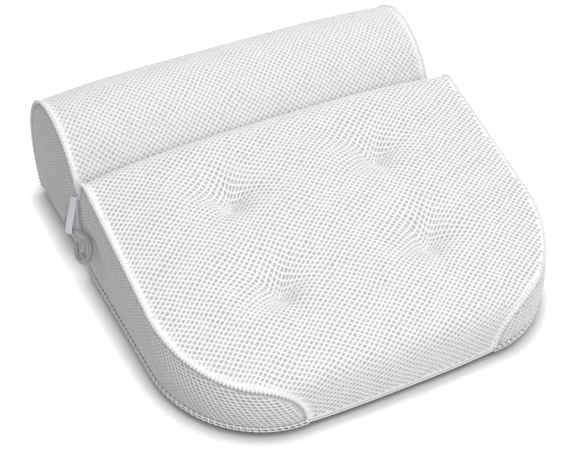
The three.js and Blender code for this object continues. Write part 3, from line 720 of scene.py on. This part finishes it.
def padTopKnit():
    xs = np.linspace(-pad["halfWidth"], pad["halfWidth"], pad["layColumns"])
    fine = np.linspace(1.0, 3.0, pad["layStages"])
    fineX = padRow(fine)[0][:, 0]
    highest = np.interp(np.minimum(np.abs(xs), pad["halfWidth"] - 1e-5), fineX[::-1], fine[::-1])
    highest[np.abs(xs) <= pad["noseHalfGap"]] = 3.0

    def untufted(stage, x):
        return padForm(stage, x, 0)

    stageAt, ends, inside, border = layOut(untufted, xs, highest, anchor=1.2, way=-1)
    spots = []  # the tufts, laid out flat
    for s in (-pad["tuftX"], pad["tuftX"]):
        t = np.linspace(*ends(s), pad["spotSteps"])
        y = untufted(stageAt(0 * t + s, t), 0 * t + s)[:, 1]
        spots += [(s, t[np.argmin(np.abs(y - tuftY))]) for tuftY in pad["tuftYs"]]

    def place(s, t, z):
        for spotS, spotT in spots:  # each tuft draws the cloth in
            near = pad["gather"] * tuftDip(np.hypot(s - spotS, t - spotT) / pad["tuftReach"])
            s, t = s + (spotS - s) * near, t + (spotT - t) * near
        stage = stageAt(s, t)
        return padSurface(stage, s) + surfaceNormal(padSurface, stage, s, -1) * z[:, None]

    seam = np.concatenate([padSeamLine * (side, 1, 1) for side in (-1, knit["tightRight"])])
    piece = knitSheet("pad_top_knit", knit["top"], border, inside, place, seam, lambda s: knit["topLean"])
    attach(piece, "shoulder_pad")
    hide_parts("pad_top_cover", "pad_foam_core")


padTopKnit()
print("pad top made")

# side gussets: the wall under each side seam
gussetStage = np.linspace(0, 3, pad["gussetPoints"])
planX, planY = seamPlan(np.clip(gussetStage - 1, 0, 2))
gussetX = np.where(gussetStage <= 1, pad["halfWidth"], planX)
gussetY = np.where(gussetStage <= 1, lerp(pad["rearSideY"], shoulderY, gussetStage), planY)
gussetRun = np.concatenate([[0], np.cumsum(np.hypot(np.diff(gussetX), np.diff(gussetY)))])
rearArc = np.sqrt(np.maximum(pad["rearSideRound"] ** 2 - (gussetY - shoulderY) ** 2, 0))
rearTop = seamHeight(shoulderY) - pad["rearSideRound"] + rearArc
gussetTop = np.where(gussetStage < 1, rearTop, padRow(gussetStage)[0][:, 2])
climbing = gussetRun + gussetStage * 1e-9  # no two points at one place
gussetOut = np.stack([-np.gradient(gussetY, climbing), np.gradient(gussetX, climbing)], -1)
gussetOut /= np.linalg.norm(gussetOut, axis=1, keepdims=True)
gussetFoot = np.stack([gussetX, gussetY, 0 * gussetX + pad["seamZ"]], -1)


def padSideKnit(word, side):
    length, low = gussetRun[-1], pad["seamZ"]

    def along(s):  # way round from the gusset's rear end
        return s if side < 0 else length - s

    def top(s):
        return np.interp(along(s), gussetRun, gussetTop)

    def inside(s, t):
        return (s > 0) & (s < length) & (t > low) & (t < top(s))

    def place(s, t, z):
        x, y, outX, outY = (np.interp(along(s), gussetRun, line) for line in (gussetX, gussetY, *gussetOut.T))
        tall = np.maximum(top(s) - low, 1e-4)
        swell = pad["gussetBulge"] * np.minimum(1, tall / pad["noseHeight"])
        swell = swell * np.sin(np.clip((t - low) / tall, 0, 1) * math.pi)
        footTuck = pad["footTuck"] * np.exp(-((t - low) / pad["tuckWidth"]) ** 2)
        topTuck = pad["topTuck"] * np.exp(-((top(s) - t) / pad["tuckWidth"]) ** 2)
        out = swell + z - (footTuck + topTuck)
        return np.stack([side * (x + outX * out), y + outY * out, t], -1)

    def lean(s):  # the knit slants towards the nose
        return side * knit["sideLean"] * ramp(along(s) / length, knit["leanFrom"], knit["leanRamp"])

    seam = np.concatenate([padSeamLine, gussetFoot]) * (side, 1, 1)
    s = np.linspace(0, length, pad["seamPoints"])
    border = np.concatenate([np.c_[s, np.maximum(top(s), low)], [(length, low), (0, low)]])
    piece = knitSheet("pad_side_knit_" + word, knit["side"], border, inside, place, seam, lean)
    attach(piece, "shoulder_pad")
    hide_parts("pad_gusset_" + word)


for word, side in sides:
    padSideKnit(word, side)
print("pad sides made")

# neck roll
roll = {
    "half": 0.158, "depth": 0.126, "height": 0.1165, "waist": 0.038, "footTuck": 0.012,
    "endDraw": 0.0050, "drawPower": 4, "endBulge": 0.005, "bulgePower": 2.2,
    "middleY": 0.1125, "centreZ": 0.050, "foldGap": 0.0004, "rows": 76, "columns": 49, "layColumns": 97,
    "fadePoints": 400, "endPoints": 600, "footPoints": 80, "seamPoints": 900,
    "pressure": 5.0, "flip": False, "cap": 0.0035,
    "freeFrom": 1.05, "freeRamp": 0.3, "rearRamp": 0.8, "leastFree": 0.1,
}
rollWaistZ = pad["baseZ"] + roll["waist"]


def rollForm(stage, x):  # 0-1 front below the waist, 1-2 over the top, 2-3 rear below the waist
    draw = roll["endDraw"] * np.abs(x / roll["half"]) ** roll["drawPower"]
    reach = roll["depth"] / 2 - roll["foldGap"] - draw
    low = np.where(stage <= 1, 1 - stage, stage - 2) * math.pi / 2
    lowY = reach - roll["footTuck"] + roll["footTuck"] * np.cos(low)
    lowZ = rollWaistZ - (rollWaistZ - pad["footZ"]) * np.sin(low)
    over = np.clip(stage - 1, 0, 1) * math.pi
    top = roll["height"] - roll["waist"] - draw
    y = np.select([stage <= 1, stage <= 2], [-lowY, -reach * np.cos(over)], lowY)
    z = np.where((stage > 1) & (stage < 2), rollWaistZ + top * np.sin(over), lowZ)
    return np.stack([x + 0 * y, roll["middleY"] + y, z], -1)


def makeRollSkin():
    stages = np.linspace(0, 3, roll["rows"])
    form = rollForm(stages[:, None], np.linspace(-roll["half"], roll["half"], roll["columns"])[None, :])
    freedom = ramp(stages, roll["freeFrom"], roll["freeRamp"])
    freedom = freedom * np.clip((3 - stages) / roll["rearRamp"], roll["leastFree"], 1)
    freedom = freedom[:, None] * np.ones(roll["columns"])
    return blowUp("rollSkin", form, sewnBorder(form), freedom, roll)


rollSkin = makeRollSkin()


def rollSurface(stage, x):
    row = stage / 3 * (roll["rows"] - 1)
    return sampleGrid(rollSkin, row, (np.clip(x / roll["half"], -1, 1) + 1) / 2 * (roll["columns"] - 1))


def rollRing(side, count):
    return rollForm(np.linspace(0, 3, count), np.full(count, side * roll["half"]))


def rollTopKnit():
    xs = np.linspace(-roll["half"], roll["half"], roll["layColumns"])
    stageAt, _, inside, border = layOut(rollSurface, xs, np.full(len(xs), 3.0), anchor=1.5, way=1)

    def place(s, t, z):
        stage = stageAt(s, t)
        return rollSurface(stage, s) + surfaceNormal(rollSurface, stage, s, 1) * z[:, None]

    seam = np.concatenate([rollRing(side, roll["fadePoints"]) for side in (-1, 1)])
    piece = knitSheet("roll_top_knit", knit["roll"], border, inside, place, seam)
    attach(piece, "neck_roll")
    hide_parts("roll_top_cover", "roll_fibre_core")


rollTopKnit()


def rollEndKnit(word, side):
    ring = rollRing(side, roll["endPoints"])
    foot = lerp(ring[-1], ring[0], np.linspace(0, 1, roll["footPoints"])[:, None])
    ring = np.concatenate([ring, foot[1:-1]])
    centre = np.array([roll["middleY"], roll["centreZ"]])
    away = ring[:, 1:] - centre
    around = np.arctan2(away[:, 1], away[:, 0])
    order = np.argsort(around)
    reachAt = np.hypot(away[:, 0], away[:, 1])[order]

    def outward(s, t):  # 0 in the middle, 1 at the seam
        y, z = side * s - centre[0], t - centre[1]
        reach = np.interp(np.arctan2(z, y), around[order], reachAt, period=2 * math.pi)
        return np.hypot(y, z) / reach

    def inside(s, t):
        return outward(s, t) < 1

    def place(s, t, z):
        swell = roll["endBulge"] * (1 - np.minimum(outward(s, t), 1) ** roll["bulgePower"])
        return np.stack([side * (roll["half"] + swell + z), side * s, t], -1)

    border = np.c_[side * ring[:, 1], ring[:, 2]]
    piece = knitSheet("roll_end_knit_" + word, knit["side"], border, inside, place, ring)
    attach(piece, "neck_roll")
    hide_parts("roll_end_" + word)


for word, side in sides:
    rollEndKnit(word, side)
print("neck roll made")

# seams: a bound ridge with overlocked thread round it, and a chain of lock stitches round the pad's foot
seams = {
    "ridge": 0.0009, "thread": 0.00074, "wrap": 0.0011, "pitch": 0.0029, "perTurn": 10, "step": 0.004,
    "rail": 0.00045, "railOut": 0.0010, "railRise": (0.0022, -0.0004), "hem": 0.0006,
    "lock": 0.0018, "lockThread": 0.00055, "lockPitch": 0.0048, "lockRise": 0.0009,
    "padSpan": (0.02, 2.97), "hemPoints": 60,
    "padMiddle": (0, -0.06, 0.03), "rollMiddle": (0, roll["middleY"], roll["centreZ"]),
}


def tube(bm, points, radius, closed, rounds=1):  # adds a round tube along points to a bmesh
    curve = bpy.data.curves.new("tube", "CURVE")
    curve.dimensions = "3D"
    curve.bevel_depth = radius
    curve.bevel_resolution = rounds
    curve.use_fill_caps = not closed
    line = curve.splines.new("POLY")
    line.points.add(len(points) - 1)
    line.points.foreach_set("co", np.c_[points, np.ones(len(points))].ravel())
    line.use_cyclic_u = closed
    holder = bpy.data.objects.new("tube", curve)
    scene.collection.objects.link(holder)
    mesh = bpy.data.meshes.new_from_object(holder.evaluated_get(bpy.context.evaluated_depsgraph_get()))
    bm.from_mesh(mesh)
    bpy.data.objects.remove(holder)
    bpy.data.curves.remove(curve)
    bpy.data.meshes.remove(mesh)


def wrapped(points, marks, middle, radius, pitch):  # a thread wound round a path
    ahead = np.gradient(points, axis=0)
    ahead /= np.linalg.norm(ahead, axis=1, keepdims=True)
    out = points - np.array(middle)
    out -= ahead * (out * ahead).sum(1, keepdims=True)
    out /= np.linalg.norm(out, axis=1, keepdims=True)
    over = np.cross(ahead, out)
    angle = marks / pitch * 2 * math.pi
    return points + radius * (np.cos(angle)[:, None] * out + np.sin(angle)[:, None] * over)


def boundEdge(bm, line, closed, middle):  # the ridge and its overlocked thread
    tube(bm, alongPath(line, seams["step"], closed)[0], seams["ridge"], closed)
    fine, marks = alongPath(line, seams["pitch"] / seams["perTurn"], False)
    tube(bm, wrapped(fine, marks, middle, seams["wrap"], seams["pitch"]), seams["thread"], False)


def finishMesh(bm, name, material):
    bmesh.ops.recalc_face_normals(bm, faces=bm.faces)
    layer = bm.loops.layers.uv.get("cloth") or bm.loops.layers.uv.new("cloth")
    for f in bm.faces:
        f.smooth = True
        for corner in f.loops:
            corner[layer].uv = (corner.vert.co.x + corner.vert.co.z, corner.vert.co.y)
    return newObject(name, meshFrom(bm, name), material)


def padSeam(word, side):
    turn = np.array((side, 1, 1))
    top = padRow(np.linspace(*seams["padSpan"], pad["gussetPoints"]))[0] * turn
    foot = gussetFoot[::-1] * turn
    outward = np.c_[gussetOut, 0 * gussetX][::-1] * turn
    bm = bmesh.new()
    boundEdge(bm, top, False, seams["padMiddle"])
    for rise in seams["railRise"]:
        rail = foot + outward * seams["railOut"] + (0, 0, rise)
        tube(bm, alongPath(rail, seams["step"], False)[0], seams["rail"], False)
    fine, marks = alongPath(foot, seams["pitch"] / seams["perTurn"], False)
    fine = fine + (0, 0, seams["lockRise"])
    lock = wrapped(fine, marks, seams["padMiddle"], seams["lock"], seams["lockPitch"])
    tube(bm, lock, seams["lockThread"], False)
    piece = finishMesh(bm, "pad_seam_" + word, seamThread)
    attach(piece, "shoulder_pad")
    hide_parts("pad_welt_" + word)


def rollSeam(word, side):
    bm = bmesh.new()
    boundEdge(bm, rollRing(side, roll["seamPoints"]), True, seams["rollMiddle"])
    piece = finishMesh(bm, "roll_seam_" + word, seamThread)
    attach(piece, "neck_roll")
    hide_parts("roll_welt_" + word)


for word, side in sides:
    padSeam(word, side)
    rollSeam(word, side)


def frontHem():  # turned edge of the top where it meets the base cloth
    x = np.linspace(-pad["noseHalfGap"], pad["noseHalfGap"], seams["hemPoints"])
    share = np.abs(x / pad["noseHalfGap"]) ** pad["crownPower"]
    line = np.stack([x, lerp(pad["frontMiddleY"], pad["frontY"], share), 0 * x + pad["seamZ"]], -1)
    bm = bmesh.new()
    tube(bm, line, seams["hem"], False, rounds=2)
    piece = finishMesh(bm, "pad_front_hem", seamThread)
    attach(piece, "shoulder_pad")


frontHem()
print("seams made")

# suction cups and eyelets
cups = {
    "padX": 0.095, "padYs": {"front": -0.1055, "rear": -0.0055}, "rollX": 0.085, "rollY": 0.1125,
    "turns": 48, "curvePoints": 13,
    "radius": 0.022, "height": 0.0045, "wall": 0.0018, "lip": 0.002, "lipRound": (0.0003, 0.0002),
    "neck": 0.004, "crownFlat": 0.002, "head": 0.0065, "headThick": 0.0025,
    "headRound": ((0.0012, 0), (0.0003, 0.0003), (0, 0.001)),  # in and down from the corner
    "flange": 0.009, "flangeThick": 0.0008, "barrelWall": 0.0012, "soft": 0.0003,
    "gap": 0.0003, "cloth": 0.002,
}
eyeletBore = cups["neck"] + cups["gap"]
eyeletBarrel = eyeletBore + cups["barrelWall"]


def spun(name, profile, x, y, material):  # a turned piece about an upright axis
    bm = bmesh.new()
    verts = [bm.verts.new((r, 0, z)) for r, z in profile]
    edges = [bm.edges.new(pair) for pair in zip(verts, verts[1:])]
    bmesh.ops.spin(bm, geom=verts + edges, cent=(0, 0, 0), axis=(0, 0, 1), angle=2 * math.pi,
                   steps=cups["turns"], use_merge=True)
    bmesh.ops.remove_doubles(bm, verts=bm.verts, dist=1e-6)
    bmesh.ops.translate(bm, verts=bm.verts, vec=(x, y, 0))
    return finishMesh(bm, name, material)


def smoothLine(points, steps):  # smooth line through a few points
    grid = np.array(points)[:, None, :]
    row = np.linspace(0, len(points) - 1, steps)
    return sampleGrid(np.concatenate([grid, grid], axis=1), row, 0 * row)


def cupProfile():
    radius, height, wall, lip = (cups[k] for k in ("radius", "height", "wall", "lip"))
    neck, head = cups["neck"], cups["head"]
    flange = pad["baseZ"] + cups["cloth"] + 2 * cups["gap"] + cups["flangeThick"]
    headLow = flange + cups["gap"]
    headTop = headLow + cups["headThick"]
    rim = [(head - inward, headTop - down) for inward, down in cups["headRound"]]
    dome = smoothLine([(neck + wall, height), (radius * 0.62, height * 0.8), (radius * 0.86, height * 0.45),
                       (radius, lip * 0.3)], cups["curvePoints"])
    under = smoothLine([(radius - lip, 0), (radius * 0.76, height * 0.45 - wall * 0.4),
                        (radius * 0.5, height * 0.8 - wall * 0.8),
                        (cups["crownFlat"], height - wall)], cups["curvePoints"])
    edgeIn, edgeUp = cups["lipRound"]
    return [(0, headTop), *rim, (head, headLow), (neck, headLow), (neck, height), *dome,
            (radius, edgeUp), (radius - edgeIn, 0), *under, (0, height - wall)]


def eyeletProfile():
    flange, thick, soft = cups["flange"], cups["flangeThick"], cups["soft"]
    low = pad["baseZ"] - cups["gap"] - thick
    high = pad["baseZ"] + cups["cloth"] + cups["gap"]
    lower = [(eyeletBore, low + soft), (eyeletBore + soft, low), (flange - soft, low), (flange, low + soft),
             (flange, low + thick), (eyeletBarrel, low + thick)]
    upper = [(eyeletBarrel, high), (flange, high), (flange, high + thick - soft),
             (flange - soft, high + thick), (eyeletBore, high + thick)]
    return lower + upper + lower[:1]


cupPlaces = []
for word, side in sides:
    for row, y in cups["padYs"].items():
        cupPlaces.append((row + "_" + word, side * cups["padX"], y, "shoulder_pad"))
    cupPlaces.append(("roll_" + word, side * cups["rollX"], cups["rollY"], "neck_roll"))
for word, x, y, body in cupPlaces:
    cup = spun("sucker_" + word, cupProfile(), x, y, clearVinyl)
    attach(cup, "cup_" + word)
    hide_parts("suction_cup_" + word)
    ring = spun("grommet_" + word, eyeletProfile(), x, y, whitePlastic)
    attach(ring, body)
    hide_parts("eyelet_" + word)
print("cups and grommets made")

# base cloths, and the strip that the roll folds on
base = {
    "thick": 0.8, "holeReach": 2.2,  # shares of the cloth's room and of a hole
    "padCells": (91, 129), "rollCells": (45, 127), "stripCells": (13, 81),
    "inset": 0.0012, "rearInset": 0.0035, "bowFrom": 0.012, "bowRamp": 0.0143,
    "foldY": 0.0495, "foldInset": 0.004, "rollInset": 0.0008, "stripHalf": 0.0037, "stripInset": 0.0031,
}


def shapedGrid(rows, columns, shape):  # a grid whose points a formula places
    mesh, row, column = gridMesh("grid", rows, columns)
    setCoords(mesh, shape(row, column))
    bm = bmesh.new()
    bm.from_mesh(mesh)
    bpy.data.meshes.remove(mesh)
    return bm


def thicken(piece, thickness):
    thick = piece.modifiers.new("thick", "SOLIDIFY")
    thick.thickness = thickness
    thick.offset = 0


def clothPanel(name, cells, shape, holes):  # flat base cloth with a round hole under each grommet
    rows, columns = cells

    def panel(row, column):
        return shape(row / (rows - 1), column / (columns - 1) * 2 - 1)

    bm = shapedGrid(rows, columns, panel)
    opening = eyeletBarrel + cups["gap"]
    for x, y in holes:
        cut = [f for f in bm.faces if (f.calc_center_median().xy - Vector((x, y))).length < opening]
        bmesh.ops.delete(bm, geom=cut, context="FACES")
        for v in bm.verts:
            away = v.co.xy - Vector((x, y))
            if v.is_boundary and away.length < opening * base["holeReach"]:
                v.co.xy = Vector((x, y)) + away.normalized() * opening
    area = sum(f.calc_area() for f in bm.faces)
    piece = finishMesh(bm, name, baseCloth)
    thicken(piece, cups["cloth"] * base["thick"])
    return piece, area


def padBase():
    def shape(down, across):
        y = lerp(pad["rearMiddleY"] - base["rearInset"], pad["frontMiddleY"] + base["inset"], down)
        wide = np.interp(-y, -gussetY, gussetX - base["inset"])
        front = np.clip((pad["frontY"] + base["bowFrom"] - y) / base["bowRamp"], 0, 1)
        bow = np.abs(across) ** pad["crownPower"] * (pad["frontY"] - pad["frontMiddleY"]) * front
        return np.stack([across * wide, y + bow, 0 * y + pad["seamZ"]], -1)

    holes = [(x, y) for _, x, y, body in cupPlaces if body == "shoulder_pad"]
    piece, area = clothPanel("pad_base_cloth", base["padCells"], shape, holes)
    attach(piece, "shoulder_pad")
    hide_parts("pad_base_panel")


def rollBase():
    half = roll["half"] - base["rollInset"]
    low, high = base["foldY"] + base["foldInset"], roll["middleY"] + roll["depth"] / 2 - roll["footTuck"]

    def shape(down, across):
        return np.stack([across * half, lerp(low, high, down), 0 * down + pad["seamZ"]], -1)

    holes = [(x, y) for _, x, y, body in cupPlaces if body == "neck_roll"]
    piece, area = clothPanel("roll_base_cloth", base["rollCells"], shape, holes)
    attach(piece, "neck_roll")
    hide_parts("roll_base_panel")


padBase()
rollBase()


def foldStrip():
    foldY, half, reach = base["foldY"], base["stripHalf"], roll["half"] - base["stripInset"]

    def shape(down, across):
        return np.stack([across * reach, foldY + (down * 2 - 1) * half, 0 * down + pad["seamZ"]], -1)

    piece = clothPanel("fold_strip", base["stripCells"], shape, [])[0]
    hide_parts("fold_web")
    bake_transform(piece)


foldStrip()
print("base cloths made")

# tufts: a few stitches pulled through the pad
tuft = {
    "strand": 0.00055, "half": 0.0024, "gap": 0.0010, "arch": 0.0009, "sink": 0.0004, "turn": 35,
    "tieTop": 0.0005, "tieDrop": 0.0012, "knot": 0.0024, "knotFlat": 0.35, "knotDrop": 0.0011,
}


def tuftStitch(word, x, tuftY):
    stage = np.linspace(1.05, 1.95, pad["seamPoints"])  # the top, clear of its ends
    line = padSurface(stage, np.full(len(stage), x))
    spot = line[np.argmin(np.abs(line[:, 1] - tuftY))]
    bm = bmesh.new()
    t = np.linspace(-1, 1, 13)
    turn = np.array(Matrix.Rotation(math.radians(tuft["turn"]), 3, "Z"))
    arch = tuft["arch"] * (1 - t ** 4) - tuft["sink"]
    for k in (-1, 0, 1):
        strand = np.stack([t * tuft["half"], 0 * t + k * tuft["gap"], arch], -1)
        tube(bm, strand @ turn.T + spot, tuft["strand"], False, rounds=2)
    rise = np.linspace(pad["baseZ"] - tuft["tieDrop"], spot[2] - tuft["tieTop"], len(t))
    tube(bm, np.stack([0 * t + x, 0 * t + tuftY, rise], -1), tuft["strand"], False)
    knot = Matrix.Translation((x, tuftY, pad["baseZ"] - tuft["knotDrop"]))
    bmesh.ops.create_uvsphere(bm, u_segments=14, v_segments=8, radius=tuft["knot"],
                              matrix=knot @ Matrix.Diagonal((1, 1, tuft["knotFlat"], 1)))
    piece = finishMesh(bm, "tuft_stitch_" + word, seamThread)
    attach(piece, "shoulder_pad")
    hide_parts("tuft_tie_" + word)


for row, tuftY in zip(("rear", "front"), pad["tuftYs"]):
    for word, side in sides:
        tuftStitch(row + "_" + word, side * pad["tuftX"], tuftY)
print("tufts made")

# hanging ribbon and hook
hang = {
    "turn": 80, "lean": 29, "tilt": 25, "sewn": (-0.1613, 0.05789, 0.072), "length": 0.026, "width": 0.008,
    "cloth": 0.0007, "halfTight": 0.00047, "loopRoom": 0.0004, "rod": 0.0019, "gap": 0.0003,
    "upturn": ((0.0024, 0.0085), (0.003, 0.005), (0.0024, 0.0016)),  # the short end: out and up
    "arm": 0.0178, "armSag": 0.0002, "bowlReach": 0.013, "bowlDepth": 0.010, "drop": 0.0108,
    "bowlStart": 90, "bowlStep": 27.5, "bowlPoints": 11, "routePoints": 240, "routeStep": 0.0008,
    "legPoints": 15, "loopPoints": 13, "columns": 9,
}


def hangAxes():
    turn, lean, tilt = (math.radians(hang[k]) for k in ("turn", "lean", "tilt"))
    level = np.array((math.cos(turn), -math.sin(turn), 0))
    plumb = np.array((-math.sin(turn) * math.sin(lean), -math.cos(turn) * math.sin(lean), -math.cos(lean)))
    across = level * math.cos(tilt) - plumb * math.sin(tilt)
    down = plumb * math.cos(tilt) + level * math.sin(tilt)
    return level, across, down


def hangRibbon():
    across, down = hangAxes()[1:]
    face = np.cross(down, across)
    tight, wide = hang["halfTight"], hang["rod"] + hang["gap"] + hang["loopRoom"]
    t = np.linspace(0, 1, hang["legPoints"])[:, None]
    bend = hang["length"] / 2
    corners = [np.array(p) for p in ((0, -tight), (bend, -tight), (bend, -wide), (hang["length"], -wide))]
    weights = ((1 - t) ** 3, 3 * t * (1 - t) ** 2, 3 * t * t * (1 - t), t ** 3)
    leg = sum(weight * corner for weight, corner in zip(weights, corners))
    turn = np.linspace(-90, 90, hang["loopPoints"])[1:-1] * math.pi / 180
    loop = np.stack([hang["length"] + wide * np.cos(turn), wide * np.sin(turn)], -1)
    path = np.concatenate([leg, loop, leg[::-1] * (1, -1)])

    def shape(row, column):
        points = np.array(hang["sewn"]) + path[row][:, :1] * down + path[row][:, 1:] * face
        return points + ((column / (hang["columns"] - 1) - 0.5) * hang["width"])[:, None] * across

    piece = finishMesh(shapedGrid(len(path), hang["columns"], shape), "hang_ribbon", satinRibbon)
    thicken(piece, hang["cloth"])
    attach(piece, "ribbon")
    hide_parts("hang_loop")


def dryingHook():
    level, across, down = hangAxes()
    seat = np.array(hang["sewn"]) + hang["length"] * down
    grip = hang["width"] / 2 + hang["gap"]
    tilt = math.radians(hang["tilt"])
    armWay = level * math.cos(tilt) + np.array((0, 0, math.sin(tilt)))

    def held(along, up=0):
        return seat + along * across - up * down

    def arm(along, fall):
        return held(grip) + along * armWay + fall * down

    route = [held(-grip - out, up) for out, up in hang["upturn"]]
    route += [held(-grip), seat, held(grip), arm(hang["arm"] / 2, hang["armSag"])]
    for angle in np.radians(hang["bowlStart"] - hang["bowlStep"] * np.arange(hang["bowlPoints"])):
        route.append(arm(hang["arm"] + hang["bowlReach"] * math.cos(angle),
                         hang["drop"] - hang["bowlDepth"] * math.sin(angle)))
    line = alongPath(smoothLine(route, hang["routePoints"]), hang["routeStep"], False)[0]
    bm = bmesh.new()
    tube(bm, line, hang["rod"], False, rounds=5)
    for end in (line[0], line[-1]):
        bmesh.ops.create_uvsphere(bm, u_segments=20, v_segments=12, radius=hang["rod"],
                                  matrix=Matrix.Translation(end))
    piece = finishMesh(bm, "drying_hook", greyPlastic)
    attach(piece, "hook")
    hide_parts("hang_hook")


hangRibbon()
dryingHook()
print("ribbon and hook made")
